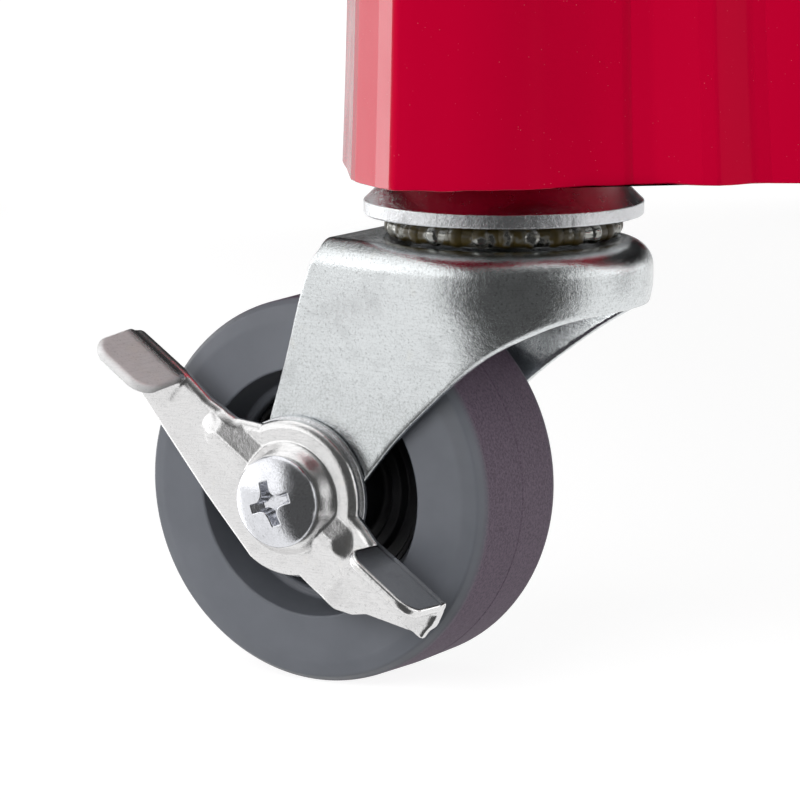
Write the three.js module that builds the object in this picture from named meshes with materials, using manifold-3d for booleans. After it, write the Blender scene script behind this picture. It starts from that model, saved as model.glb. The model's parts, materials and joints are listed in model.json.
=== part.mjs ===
// Book cart: three moulded shelves between four fluted corner legs, on four swivel casters.
// Millimetres, +Z up. Origin on the floor, below the middle of the cart. X runs along its length.
import * as THREE from 'three';
import { mergeVertices } from 'three/addons/utils/BufferGeometryUtils.js';
import Module from 'manifold-3d';

const wasm = await Module();
wasm.setup();

// ---- Driving dimensions ----
const GAP = 0.3;                 // clearance left between pieces that touch
const SWIVEL_X = 377.4;          // swivel axis, from the middle of the cart
const SWIVEL_Y = 185.2;

const LEG_BOTTOM = 101;
const LEG_TOP = 960;
const LEG_WALL = 3;
const STEM_SETBACK = [9, 2.2];   // how far a swivel axis lies inside its leg's outline
const FLARE_HEIGHT = 80;         // the legs widen towards the floor over this height
const FLARE = 0.048;

const WHEEL_RADIUS = 38;
const TRAIL = 33.7;              // from the swivel axis to the axle
const TYRE_HALF_WIDTH = 17;
const BORE_RADIUS = 6.3;
const AXLE_RADIUS = 4;
const FORK_SHEET = 2.2;
const FORK_HALF_WIDTH = 20.5;    // outer faces of the fork's cheeks at the axle
const CROWN_RADIUS = 29;         // the round crown's back, and its half width above the cheeks
const CROWN_HALF_WIDTH = 28;
const SHOULDER = 83;             // height where the crown starts to round over
const CROWN_TOP = 88.2;
const RACE_RADIUS = 27;
const RACE_BOTTOM = 92.8;
const RACE_TOP = 101.7;
const BALL_RADIUS = 2.1;
const BALL_CIRCLE = 20.8;
const STEM_RADIUS = 5.5;

const LEVER_INNER = 23;          // the lever's plate lies between these distances from the wheel's middle
const LEVER_OUTER = 25;
const LEVER_SHEET = LEVER_OUTER - LEVER_INNER;
const LEVER_ANGLE = 36;          // the lever's arms, from the horizontal, in degrees
const HEAD_RADIUS = 9.1;
const HEAD_SEAT = 28.5;          // underside of the axle screw's head on a braked caster

const SHELF_HALF_LENGTH = 403.2;
const SHELF_HALF_WIDTH = 207.4;
const SHELF_WALL = 4;
const TRAY_BOTTOM = 142;
const TRAY_DECK = 176;
const TRAY_RIM = 204;
const MIDDLE_SHELF = 440;        // heights of the sloping shelves' lowest points
const TOP_SHELF = 790;

const HANDLE_HEIGHT = 925;
const HANDLE_RADIUS = 11;
const HANDLE_REACH = 48;
const HANDLE_HALF_SPAN = 150;
const BOLT_RADIUS = 3.7;         // the handles' bolts
const BOLT_BORE = 4;

// ---- Finishes ----
const finish = (color, roughness, metalness) => () => (
  new THREE.MeshStandardMaterial({ color, roughness, metalness }));
const redPlastic = finish(0xb4062c, 0.2, 0);
const blackPlastic = finish(0x2a2b2d, 0.6, 0);
const hubPlastic = finish(0x101112, 0.4, 0);
const greyRubber = finish(0x5d5e64, 0.75, 0);
const zinc = finish(0xc4c8cb, 0.35, 1);
const steel = finish(0xa8a49a, 0.3, 1);

// ---- Solids ----

// Merges shared points, drops collapsed triangles and turns the faces outwards.
function closed(geometry) {
  const bare = geometry.clone();
  bare.deleteAttribute('normal');
  bare.deleteAttribute('uv');
  const merged = mergeVertices(bare, 1e-4);
  const points = merged.attributes.position.array;
  const index = merged.index.array;
  const kept = [];
  let volume = 0;
  const [a, b, c] = [new THREE.Vector3(), new THREE.Vector3(), new THREE.Vector3()];
  for (let i = 0; i < index.length; i += 3) {
    const [p, q, r] = [index[i], index[i + 1], index[i + 2]];
    if (p === q || q === r || r === p) continue;
    kept.push(p, q, r);
    a.fromArray(points, 3 * p);
    b.fromArray(points, 3 * q);
    c.fromArray(points, 3 * r);
    volume += a.dot(b.cross(c)) / 6;
  }
  if (volume < 0) kept.reverse();
  merged.setIndex(kept);
  return merged;
}

function solid(geometry) {
  const body = closed(geometry);
  return new wasm.Manifold(new wasm.Mesh({
    numProp: 3,
    vertProperties: new Float32Array(body.attributes.position.array),
    triVerts: new Uint32Array(body.index.array),
  }));
}

function geometryOf(body) {
  const { vertProperties, triVerts } = body.getMesh();
  const geometry = new THREE.BufferGeometry();
  geometry.setAttribute('position', new THREE.BufferAttribute(new Float32Array(vertProperties), 3));
  geometry.setIndex(new THREE.BufferAttribute(new Uint32Array(triVerts), 1));
  geometry.computeVertexNormals();
  return geometry;
}

function named(name, geometry, material) {
  const mesh = new THREE.Mesh(geometry, material());
  mesh.name = name;
  return mesh;
}

const shapeOf = (points) => new THREE.Shape(points.map(([x, y]) => new THREE.Vector2(x, y)));

// Points on an arc about a centre, angles in degrees.
function arc(cx, cy, radius, from, to, steps) {
  return Array.from({ length: steps + 1 }, (_, i) => {
    const angle = THREE.MathUtils.degToRad(from + (to - from) * i / steps);
    return [cx + radius * Math.cos(angle), cy + radius * Math.sin(angle)];
  });
}

// A ring or disc about the axle, from points of (radius, distance along the axle).
const turnedOnAxle = (points, segments) => closed(new THREE.LatheGeometry(
  points.map(([radius, along]) => new THREE.Vector2(radius, along)), segments));

// A ring or disc about the vertical, from points of (radius, height).
const turned = (points, segments) => turnedOnAxle(points, segments).rotateX(Math.PI / 2);

// A plate across the axle, from an outline seen along it, between two distances along the axle.
function plate(points, inner, outer) {
  const body = new THREE.ExtrudeGeometry(shapeOf(points), { depth: outer - inner, bevelEnabled: false });
  return body.rotateX(Math.PI / 2).translate(0, outer, 0);
}

function pin(radius, from, to, segments) {
  return new THREE.CylinderGeometry(radius, radius, to - from, segments).translate(0, (from + to) / 2, 0);
}

const post = (radius, from, to, segments) =>
  new THREE.CylinderGeometry(radius, radius, to - from, segments).rotateX(Math.PI / 2)
    .translate(0, 0, (from + to) / 2);

const block = (x0, x1, y0, y1, z0, z1) => new THREE.BoxGeometry(x1 - x0, y1 - y0, z1 - z0)
  .translate((x0 + x1) / 2, (y0 + y1) / 2, (z0 + z1) / 2);

// ---- Caster ----
// Its own frame: the swivel axis is Z, X points towards the axle and Y runs along the axle.

const atAxle = (geometry) => geometry.translate(TRAIL, 0, WHEEL_RADIUS);

function tyre() {
  const side = [[WHEEL_RADIUS, 12.5], [36, 15.8], [24.2, TYRE_HALF_WIDTH], [20.4, 8.6]];
  const other = side.map(([radius, along]) => [radius, -along]).reverse();
  return atAxle(turnedOnAxle([...side, ...other, side[0]], 26));
}

function wheelCore() {
  const side = [[20, 7.8], [11.5, 6], [9.6, 17.2], [BORE_RADIUS, 17.2]];
  const other = side.map(([radius, along]) => [radius, -along]).reverse();
  return atAxle(turnedOnAxle([...side, ...other, side[0]], 18));
}

function bushing() {
  const [inner, outer, half] = [AXLE_RADIUS + GAP, BORE_RADIUS - GAP, 18];
  const section = [[inner, -half], [outer, -half], [outer, half], [inner, half], [inner, -half]];
  return atAxle(turnedOnAxle(section, 12));
}

function axleScrew(seat) {
  const profile = [[0, -29], [AXLE_RADIUS, -29], [AXLE_RADIUS, seat], [HEAD_RADIUS, seat],
    [HEAD_RADIUS, seat + 0.8], [6, seat + 2.6], [0, seat + 3.4]];
  const body = solid(turnedOnAxle(profile, 16));
  const slot = (turn) => solid(new THREE.BoxGeometry(1.8, 4, 8).rotateY(turn).translate(0, seat + 3.6, 0));
  return atAxle(geometryOf(body.subtract(slot(0.35)).subtract(slot(0.35 + Math.PI / 2))));
}

function axleNut() {
  const body = solid(new THREE.CylinderGeometry(7.5, 7.5, 6, 6));
  const bore = solid(new THREE.CylinderGeometry(AXLE_RADIUS + GAP, AXLE_RADIUS + GAP, 8, 12));
  return atAxle(geometryOf(body.subtract(bore)).translate(0, -FORK_HALF_WIDTH - GAP - 3, 0));
}

// One level of the fork's outer or inner skin: a round dish that narrows to two cheeks towards the front.
function forkSection(z, front, halfWidth, inset) {
  const [back, side, cheek] = [CROWN_RADIUS - inset, halfWidth - inset, FORK_HALF_WIDTH - inset];
  const rear = arc(0, 0, 1, 90, 270, 10).map(([x, y]) => [x * back, y * side]);
  const flank = [9, 18, 27, 36].map((x) => (
    [x, cheek + (side - cheek) * THREE.MathUtils.smoothstep(36 - x, 0, 36)]));
  const near = flank.map(([x, y]) => [x, -y]);
  const corner = 5;
  const right = arc(front - corner, corner - cheek, corner, 270, 360, 1);
  const left = arc(front - corner, cheek - corner, corner, 0, 90, 1);
  const outline = [...rear, ...near, ...right, ...left, ...flank.reverse()];
  return outline.map(([x, y]) => new THREE.Vector3(x, y, z));
}

// A closed skin through levels that all have the same number of points.
function loft(levels) {
  const count = levels[0].length;
  const points = levels.flat();
  const index = [];
  for (let k = 0; k + 1 < levels.length; k += 1) {
    for (let i = 0; i < count; i += 1) {
      const [a, b] = [k * count + i, k * count + (i + 1) % count];
      index.push(a, b, b + count, a, b + count, a + count);
    }
  }
  const last = (levels.length - 1) * count;
  const cap = THREE.ShapeUtils.triangulateShape(levels[0].map((p) => new THREE.Vector2(p.x, p.y)), []);
  for (const [a, b, c] of cap) index.push(a, c, b, last + a, last + b, last + c);
  const geometry = new THREE.BufferGeometry().setFromPoints(points);
  geometry.setIndex(index);
  return geometry;
}

// Half the dish's outer width at each height: it spreads from the cheeks into the round crown.
const DISH = [[20, FORK_HALF_WIDTH], [56, FORK_HALF_WIDTH], [62, 21.8], [68, 24.2], [74, 26.6],
  [80, CROWN_HALF_WIDTH], [SHOULDER, CROWN_HALF_WIDTH]];

function fork() {
  const shoulder = (depth) => arc(0, 0, 1, 0, 84, 3).slice(1)
    .map(([x, y]) => ({ z: SHOULDER + y * depth, inset: depth * (1 - x) }));
  const skin = (inset, front, depth) => loft([
    ...DISH.map(([z, half]) => forkSection(z, front, half, inset)),
    ...shoulder(depth).map(({ z, inset: more }) => forkSection(z, front, CROWN_HALF_WIDTH, inset + more)),
  ]);
  const eye = 10.4;
  const outline = [[29.6, 95], [29.6, 86.3], [31.2, 83.5], [33.9, 76], [37.1, 64.1], [40.4, 53.1],
    ...arc(TRAIL, WHEEL_RADIUS, eye, 16, -142, 10),
    [19.7, 41.2], [11.5, 51], [1.5, 60.3], [-8.7, 68], [-17.9, 73.1], [-24, 75.4], [-31, 76.5], [-31, 95]];
  const outer = solid(skin(0, 60, CROWN_TOP - SHOULDER)).intersect(solid(plate(outline, -40, 40)));
  const inner = solid(skin(FORK_SHEET, 80, CROWN_TOP - SHOULDER - FORK_SHEET));
  const axleHole = solid(atAxle(pin(AXLE_RADIUS + GAP, -40, 40, 16)));
  const crownHole = solid(post(STEM_RADIUS + GAP, 70, 95, 16));
  return geometryOf(outer.subtract(inner).subtract(axleHole).subtract(crownHole));
}

function stem() {
  return turned([[0, 81.6], [7.6, 81.6], [8.4, 82.6], [8.4, 84.6], [STEM_RADIUS, 84.6],
    [STEM_RADIUS, 136], [STEM_RADIUS - 1.5, 138.5], [0, 138.5]], 12);
}

function upperRace() {
  const bore = STEM_RADIUS + GAP;
  return turned([[bore, 94.6], [15, 94.6], [17, 93.4], [24.4, 93.4], [25.2, RACE_BOTTOM],
    [RACE_RADIUS, RACE_BOTTOM], [RACE_RADIUS, 95.7], [20.6, RACE_TOP], [bore, RACE_TOP], [bore, 94.6]], 24);
}

// The ring of balls between the crown and the upper race, in one cage with its packed grease.
function ballRing() {
  const middle = CROWN_TOP + GAP + BALL_RADIUS;
  const section = arc(BALL_CIRCLE, middle, BALL_RADIUS, 0, 360, 6);
  section[6] = section[0];
  return turned(section, 24);
}

function brakePlate() {
  const [inner, outer] = [FORK_HALF_WIDTH + GAP, LEVER_INNER - GAP];
  return atAxle(turnedOnAxle([[AXLE_RADIUS + GAP, inner], [15.4, inner], [15.4, outer - 0.5], [14.6, outer],
    [AXLE_RADIUS + GAP, outer], [AXLE_RADIUS + GAP, inner]], 24));
}

// A foot tab, bent outwards from the upper edge of one of the lever's arms.
function footTab(from, to, level, reach) {
  const corner = 4;
  const outline = [[from, LEVER_INNER], [to, LEVER_INNER],
    ...arc(to - corner, reach - corner, corner, 0, 90, 4),
    ...arc(from + corner, reach - corner, corner, 90, 180, 4)];
  const tab = new THREE.ExtrudeGeometry(shapeOf(outline), { depth: LEVER_SHEET, bevelEnabled: false });
  return tab.translate(0, 0, level);
}

function brakeLever() {
  const hub = 15.3;
  const outline = [[46.7, 4.4], [32.4, 4.6], [25, 4], [18.2, 4.9], ...arc(0, 0, hub, 36, 154, 12),
    [-20, 6.4], [-38.4, 6.4], [-39.4, 1.2], [-36.6, -2.4], [-26.5, -6.8], [-24.2, -9], [-20.6, -10.7],
    [-15.1, -11.1], ...arc(0, 0, hub, 224, 272, 5), [15.2, -11.9], [39.4, -5.3], [46.7, -1.5]];
  const [bore, crest] = [AXLE_RADIUS + GAP, HEAD_SEAT - GAP];
  const boss = [[bore, crest], [8.8, crest], [10.6, crest - 1], [12.4, LEVER_OUTER], [12.4, LEVER_INNER],
    [10, LEVER_INNER], [8.8, crest - LEVER_SHEET], [bore, crest - LEVER_SHEET], [bore, crest]];
  const lever = solid(plate(outline, LEVER_INNER, LEVER_OUTER))
    .subtract(solid(pin(11.4, 20, 40, 16)))
    .add(solid(turnedOnAxle(boss, 16)))
    .add(solid(footTab(31.5, 46.7, 2.6, 38)))
    .add(solid(footTab(-38.8, -20.5, 4.6, 36.5)));
  return atAxle(geometryOf(lever).rotateY(-THREE.MathUtils.degToRad(LEVER_ANGLE)));
}

function caster(number, x, y, heading, braked) {
  const seat = braked ? HEAD_SEAT : FORK_HALF_WIDTH + GAP;
  const pieces = [
    ['stem', stem(), steel],
    ['upper_race', upperRace(), zinc],
    ['ball_ring', ballRing(), steel],
    ['fork', fork(), zinc],
    ['axle_screw', axleScrew(seat), zinc],
    ['axle_nut', axleNut(), zinc],
    ['bushing', bushing(), steel],
    ['wheel_core', wheelCore(), hubPlastic],
    ['tyre', tyre(), greyRubber],
  ];
  if (braked) pieces.push(['brake_plate', brakePlate(), zinc], ['brake_lever', brakeLever(), zinc]);
  const group = new THREE.Group();
  for (const [name, geometry, material] of pieces) {
    group.add(named(`caster_${number}_${name}`, geometry, material));
  }
  group.position.set(x, y, 0);
  group.rotation.z = THREE.MathUtils.degToRad(heading);
  return group;
}

// ---- Legs ----
// Seen from above, about the swivel axis: X runs towards the cart's end and Y towards its side.

// A leg's fluted outer face at its foot, from the end wing's tip round the corner to the side wing's tip.
const LEG_OUTLINE = [
  [22.4, -81], [23.6, -78], [24, -73], [24, -61], [25.4, -57], [26.4, -52.5], [24.6, -46], [24.3, -43.6],
  [24.6, -41.2], [26.2, -34], [25.7, -31.3], [22.2, -23.5], [21.4, -19], [22.2, -16.5], [21.6, -8],
  [21.8, -4], [24.6, 3.5], [25, 8.5], [24.2, 14.5], [22.9, 20.5], [21.8, 24.4], [20.3, 26.9], [17.4, 27.9],
  [12.6, 28.5], [3.6, 30.2], [0, 30.1], [-30, 24.6],
].map(([x, y]) => [x + STEM_SETBACK[0], y + STEM_SETBACK[1]]);
const HIGHEST_FLUTE = 26.4 + STEM_SETBACK[0];
const BOLT_FLUTE = 24.3 + STEM_SETBACK[0];

const flare = (height) => {
  const rise = Math.min(1, height / FLARE_HEIGHT);
  return 1 - FLARE * (1 - (1 - rise) ** 2);
};

// The same line moved inwards by the wall's thickness.
function inset(points, wall) {
  return points.map(([x, y], i) => {
    const [before, after] = [points[Math.max(0, i - 1)], points[Math.min(points.length - 1, i + 1)]];
    const [dx, dy] = [after[0] - before[0], after[1] - before[1]];
    const length = Math.hypot(dx, dy);
    return [x - wall * dy / length, y + wall * dx / length];
  });
}

function leg() {
  const inner = inset(LEG_OUTLINE, LEG_WALL).reverse();
  const outline = [...LEG_OUTLINE, ...inner];
  const heights = [0, 24, 50, FLARE_HEIGHT, LEG_TOP - LEG_BOTTOM];
  const post = loft(heights.map((height) => outline.map(([x, y]) =>
    new THREE.Vector3(x * flare(height), y * flare(height), LEG_BOTTOM + height))));
  const boltHole = solid(new THREE.CylinderGeometry(BOLT_BORE, BOLT_BORE, 20, 12).rotateZ(Math.PI / 2)
    .translate(30, HANDLE_HALF_SPAN - SWIVEL_Y, HANDLE_HEIGHT));
  return geometryOf(solid(post).subtract(boltHole));
}

// The block in the leg's foot that the caster's stem is pressed into.
function socket() {
  const body = solid(block(-26, 25.4, -26, 25.2, RACE_TOP + GAP, TRAY_BOTTOM - GAP));
  const corner = solid(block(-40, -12, -40, -12, 110, 150));
  const step = solid(block(-40, 5, 22.4, 40, 90, 150));
  const bore = solid(post(STEM_RADIUS + GAP, 90, 150, 16));
  return geometryOf(body.subtract(corner).subtract(step).subtract(bore));
}

// ---- Shelves ----

// The flat bottom shelf: a deck with a rim above it and a ribbed skirt below.
function tray() {
  const [x, y, wall] = [SHELF_HALF_LENGTH, SHELF_HALF_WIDTH, SHELF_WALL];
  const outline = [...arc(x - 8, y - 8, 8, 0, 90, 3), ...arc(8 - x, y - 8, 8, 90, 180, 3),
    ...arc(8 - x, 8 - y, 8, 180, 270, 3), ...arc(x - 8, 8 - y, 8, 270, 360, 3)];
  const depth = TRAY_RIM - TRAY_BOTTOM;
  const body = new THREE.ExtrudeGeometry(shapeOf(outline), { depth, bevelEnabled: false })
    .translate(0, 0, TRAY_BOTTOM);
  let shelf = solid(body).subtract(solid(block(wall - x, x - wall, wall - y, y - wall, TRAY_DECK, 300)));
  const under = TRAY_DECK - wall;
  const bays = 3;
  const [bayLength, bayWidth] = [(2 * x - wall) / bays, (2 * y - wall) / 2];
  for (let i = 0; i < bays; i += 1) {
    for (let j = 0; j < 2; j += 1) {
      const [left, front] = [wall - x + i * bayLength, wall - y + j * bayWidth];
      const bay = block(left, left + bayLength - wall, front, front + bayWidth - wall, 100, under);
      shelf = shelf.subtract(solid(bay));
    }
  }
  return geometryOf(shelf);
}

// Half of a sloping shelf's section: the ridge, the back rest, the sloping deck and the lip.
const EDGE = SHELF_HALF_WIDTH;
const SLOPE_TOP = [[0, 104], [13, 104], [18, 100], [44, 13], [50, 11], [EDGE - 17, 54], [EDGE - 13, 58],
  [EDGE - 10, 70], [EDGE, 70]];
const SLOPE_BELOW = [[EDGE, 26], [EDGE - 4, 26], [EDGE - 4, 66], [EDGE - 7, 66], [EDGE - 11, 53],
  [EDGE - 15, 50], [50, 6.8], [41, 9], [14, 98], [11, 100], [0, 100]];

function slopingShelf(bottom) {
  const right = [...SLOPE_TOP, ...SLOPE_BELOW];
  const left = right.slice(1, -1).reverse().map(([y, z]) => [-y, z]);
  const end = [[EDGE, 26], [EDGE, 82], [120, 116], [-120, 116], [-EDGE, 82], [-EDGE, 26], [-50, 6.8],
    [50, 6.8]];
  // An outline of (y, z) becomes a bar along X.
  const along = (points, from, to) => (
    new THREE.ExtrudeGeometry(shapeOf(points), { depth: to - from, bevelEnabled: false })
      .rotateX(Math.PI / 2).rotateZ(Math.PI / 2).translate(from, 0, 0));
  const [x, wall] = [SHELF_HALF_LENGTH, SHELF_WALL];
  const shelf = solid(along([...right, ...left], 1 - x, x - 1))
    .add(solid(along(end, -x, wall - x)))
    .add(solid(along(end, x - wall, x)));
  return geometryOf(shelf).translate(0, 0, bottom);
}

// ---- Handles ----

const HANDLE_SEAT = SWIVEL_X + HIGHEST_FLUTE * (1 - FLARE) + GAP;

// A bent tube that stands off the end of the cart on two round feet.
function handle() {
  const [half, bend] = [HANDLE_HALF_SPAN, 26];
  const reach = HANDLE_SEAT + HANDLE_REACH;
  const path = new THREE.CurvePath();
  const corner = (side) => new THREE.Vector3(reach, side * half, HANDLE_HEIGHT);
  const foot = (side) => new THREE.Vector3(HANDLE_SEAT, side * half, HANDLE_HEIGHT);
  const near = (side) => new THREE.Vector3(reach - bend, side * half, HANDLE_HEIGHT);
  const along = (side) => new THREE.Vector3(reach, side * (half - bend), HANDLE_HEIGHT);
  const pieces = [new THREE.LineCurve3(foot(-1), near(-1)),
    new THREE.QuadraticBezierCurve3(near(-1), corner(-1), along(-1)),
    new THREE.LineCurve3(along(-1), along(1)),
    new THREE.QuadraticBezierCurve3(along(1), corner(1), near(1)),
    new THREE.LineCurve3(near(1), foot(1))];
  pieces.forEach((piece) => path.add(piece));
  const section = shapeOf(arc(0, 0, HANDLE_RADIUS, 0, 315, 7));
  let bar = solid(new THREE.ExtrudeGeometry(section, { extrudePath: path, steps: 30, bevelEnabled: false }));
  for (const side of [-1, 1]) {
    const flange = new THREE.CylinderGeometry(16, 17, 6, 16).rotateZ(-Math.PI / 2)
      .translate(HANDLE_SEAT + 3, side * half, HANDLE_HEIGHT);
    const thread = new THREE.CylinderGeometry(BOLT_BORE, BOLT_BORE, 40, 12).rotateZ(-Math.PI / 2)
      .translate(HANDLE_SEAT, side * half, HANDLE_HEIGHT);
    bar = bar.add(solid(flange)).subtract(solid(thread));
  }
  return geometryOf(bar);
}

// A bolt from inside the leg into a foot of the handle: a round head and a shank.
function handleBolt(side) {
  const seat = SWIVEL_X + (BOLT_FLUTE - LEG_WALL) * (1 - FLARE) - 2 * GAP;
  const profile = [[0, seat - 4], [5, seat - 4], [6.8, seat - 1.5], [6.8, seat], [BOLT_RADIUS, seat],
    [BOLT_RADIUS, HANDLE_SEAT + 18], [0, HANDLE_SEAT + 18]];
  return turned(profile, 12).rotateY(Math.PI / 2).translate(0, side * HANDLE_HALF_SPAN, HANDLE_HEIGHT);
}

// ---- The cart ----

const cart = new THREE.Group();

// Everything at one end is repeated at the other, turned half round.
for (const [end, turn] of [[0, 0], [1, Math.PI]]) {
  const half = new THREE.Group();
  half.rotation.z = turn;
  const first = end === 0 ? 1 : 3;
  half.add(caster(first, SWIVEL_X, -SWIVEL_Y, 225.8, true));
  half.add(caster(first + 1, SWIVEL_X, SWIVEL_Y, 20, false));
  for (const side of [-1, 1]) {
    const number = side < 0 ? first : first + 1;
    const corner = (geometry) => {
      const placed = geometry.clone().scale(1, side, 1);
      return closed(placed).translate(SWIVEL_X, side * SWIVEL_Y, 0);
    };
    half.add(named(`leg_${number}`, corner(leg()), redPlastic));
    half.add(named(`stem_socket_${number}`, corner(socket()), redPlastic));
    half.add(named(`handle_bolt_${number}`, handleBolt(side), steel));
  }
  half.add(named(`handle_${end + 1}`, handle(), blackPlastic));
  cart.add(half);
}

cart.add(named('bottom_shelf', tray(), blackPlastic));
cart.add(named('middle_shelf', slopingShelf(MIDDLE_SHELF), blackPlastic));
cart.add(named('top_shelf', slopingShelf(TOP_SHELF), blackPlastic));

export default cart;
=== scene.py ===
"""Book cart: finished surfaces, materials, light and camera round the frame. Outlines are in mm."""

import json
import math

import bmesh
import bpy
import numpy as np
from mathutils import Matrix, Vector


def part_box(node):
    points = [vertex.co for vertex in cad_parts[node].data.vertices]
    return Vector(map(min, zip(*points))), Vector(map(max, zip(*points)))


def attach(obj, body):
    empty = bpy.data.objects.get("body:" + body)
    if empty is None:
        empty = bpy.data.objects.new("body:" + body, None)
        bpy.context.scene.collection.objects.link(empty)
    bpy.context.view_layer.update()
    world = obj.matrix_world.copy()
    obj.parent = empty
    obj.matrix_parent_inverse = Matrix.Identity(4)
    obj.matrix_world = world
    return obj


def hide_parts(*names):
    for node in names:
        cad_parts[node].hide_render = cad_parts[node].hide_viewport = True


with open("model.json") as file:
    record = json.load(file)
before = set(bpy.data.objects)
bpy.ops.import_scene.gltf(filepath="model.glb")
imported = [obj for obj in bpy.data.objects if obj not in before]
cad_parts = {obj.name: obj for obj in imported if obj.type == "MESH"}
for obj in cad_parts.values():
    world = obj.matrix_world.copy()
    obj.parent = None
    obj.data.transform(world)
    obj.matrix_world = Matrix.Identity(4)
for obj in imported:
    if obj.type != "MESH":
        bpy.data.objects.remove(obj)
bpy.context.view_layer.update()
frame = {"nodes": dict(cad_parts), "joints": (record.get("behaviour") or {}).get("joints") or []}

MM = 0.001
JOINTS = {joint["name"]: joint for joint in frame["joints"]}
CASTERS = [1, 2, 3, 4]
BRAKED = [n for n in CASTERS if f"caster_{n}_brake" in JOINTS]
HERO = 1                          # the caster that the camera looks at


# ---- Where things are ----

def swivel_of(number):
    """The foot of a caster's swivel axis, on the floor, in metres."""
    x, y, _ = JOINTS[f"caster_{number}_swivel"]["pos_m"]
    return Vector((x, y, 0))


def axle_of(number):
    return Vector(JOINTS[f"caster_{number}_roll"]["pos_m"])


def caster_matrix(number):
    """A caster's own frame: Z is its swivel axis, X points to the axle and Y runs along the axle."""
    axis = Vector(JOINTS[f"caster_{number}_roll"]["axis"])
    across = axis.cross(Vector((0, 0, 1)))
    turn = Matrix((across, axis, (0, 0, 1))).transposed()
    return Matrix.Translation(swivel_of(number)) @ turn.to_4x4()


AXLE_HEIGHT = axle_of(HERO).z / MM
TRAIL = math.hypot(axle_of(HERO).x - swivel_of(HERO).x, axle_of(HERO).y - swivel_of(HERO).y) / MM


# ---- Outlines ----

def rounded(corners, closed=True, turn=12):
    """An outline through corners (x, y, radius), with an arc of short steps at each."""
    count = len(corners)
    points = []
    for i, (x, y, radius) in enumerate(corners):
        here = Vector((x, y))
        end = not closed and i in (0, count - 1)
        before = Vector(corners[i - 1][:2]) - here
        after = Vector(corners[(i + 1) % count][:2]) - here
        if end or radius <= 0 or before.length < 1e-6 or after.length < 1e-6:
            points.append((x, y))
            continue
        a, b = before.normalized(), after.normalized()
        opening = math.acos(max(-1, min(1, a.dot(b))))
        if opening > math.pi - 0.02:
            points.append((x, y))
            continue
        reach = min(radius / math.tan(opening / 2), 0.48 * before.length, 0.48 * after.length)
        radius = reach * math.tan(opening / 2)
        centre = here + (a + b).normalized() * (radius / math.sin(opening / 2))
        start, stop = here + a * reach - centre, here + b * reach - centre
        swing = start.angle_signed(stop)
        steps = max(2, round(abs(math.degrees(swing)) / turn))
        for k in range(steps + 1):
            angle = -swing * k / steps
            c, s = math.cos(angle), math.sin(angle)
            points.append((centre.x + start.x * c - start.y * s, centre.y + start.x * s + start.y * c))
    return points


def sharp(points):
    """Points as corners without rounding."""
    return [(x, y, 0) for x, y in points]


def arc(cx, cy, radius, start, stop, steps):
    """Points on an arc about a centre, angles in degrees."""
    angles = [math.radians(start + (stop - start) * i / steps) for i in range(steps + 1)]
    return [(cx + radius * math.cos(a), cy + radius * math.sin(a)) for a in angles]


def flowing(points, steps=8):
    """A smooth curve through points (a Catmull-Rom spline)."""
    p = np.array([points[0], *points, points[-1]], float)
    t = np.linspace(0, 1, steps, endpoint=False)[:, None]
    spans = []
    for a, b, c, d in zip(p, p[1:], p[2:], p[3:]):
        spans.append(0.5 * (2 * b + (c - a) * t + (2 * a - 5 * b + 4 * c - d) * t ** 2
                            + (3 * b - a - 3 * c + d) * t ** 3))
    return [tuple(q) for q in np.concatenate([*spans, p[-1:]])]


# ---- Meshes ----

def built(name, points, faces, scale=MM):
    mesh = bpy.data.meshes.new(name)
    mesh.from_pydata((np.asarray(points, float) * scale).tolist(), [], faces)
    mesh.validate()
    mesh.shade_smooth()
    return mesh


def outward(mesh):
    """Merges doubled points and turns the faces outwards."""
    work = bmesh.new()
    work.from_mesh(mesh)
    bmesh.ops.remove_doubles(work, verts=work.verts, dist=1e-7)
    bmesh.ops.recalc_face_normals(work, faces=work.faces)
    work.to_mesh(mesh)
    work.free()
    mesh.shade_smooth()
    return mesh


def quads_between(rings, n, closed=False):
    """Faces between each ring of n points and the next one."""
    steps = rings if closed else rings - 1
    pairs = [(k * n, (k + 1) % rings * n) for k in range(steps)]
    return [(a + i, a + (i + 1) % n, b + (i + 1) % n, b + i) for a, b in pairs for i in range(n)]


def turned(name, outline, segments=160, upright=False, centre=(0, 0)):
    """A mesh turned from a closed outline of (radius, along), round the axle or the swivel axis."""
    ring = np.array(outline, float)
    angle = np.linspace(0, 2 * math.pi, segments, endpoint=False)
    c, s = np.cos(angle)[:, None], np.sin(angle)[:, None]
    radius, along = ring[:, 0][None, :], ring[:, 1][None, :] + 0 * c
    x, z = centre[0] + radius * c, centre[1] + radius * s
    points = np.stack([x, z, along] if upright else [x, along, z], -1).reshape(-1, 3)
    return outward(built(name, points, quads_between(segments, len(ring), closed=True)))


def skinned(name, levels):
    """A closed mesh through rings of points that all have the same count."""
    n = len(levels[0])
    last = (len(levels) - 1) * n
    faces = quads_between(len(levels), n) + [tuple(range(n))[::-1], tuple(range(last, last + n))]
    return outward(built(name, np.concatenate(levels), faces))


def joined(name, meshes):
    """One mesh that holds several closed ones."""
    work = bmesh.new()
    for mesh in meshes:
        work.from_mesh(mesh)
    result = bpy.data.meshes.new(name)
    work.to_mesh(result)
    work.free()
    result.shade_smooth()
    return result


# ---- Surfaces from distance functions, for pressed and bent sheet metal ----

def soft_min(a, b, k):
    h = np.clip(0.5 + 0.5 * (b - a) / k, 0, 1)
    return b * (1 - h) + a * h - k * h * (1 - h)


def soft_max(a, b, k):
    return -soft_min(-a, -b, k)


def ease(t):
    t = np.clip(t, 0, 1)
    return t * t * (3 - 2 * t)


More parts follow.
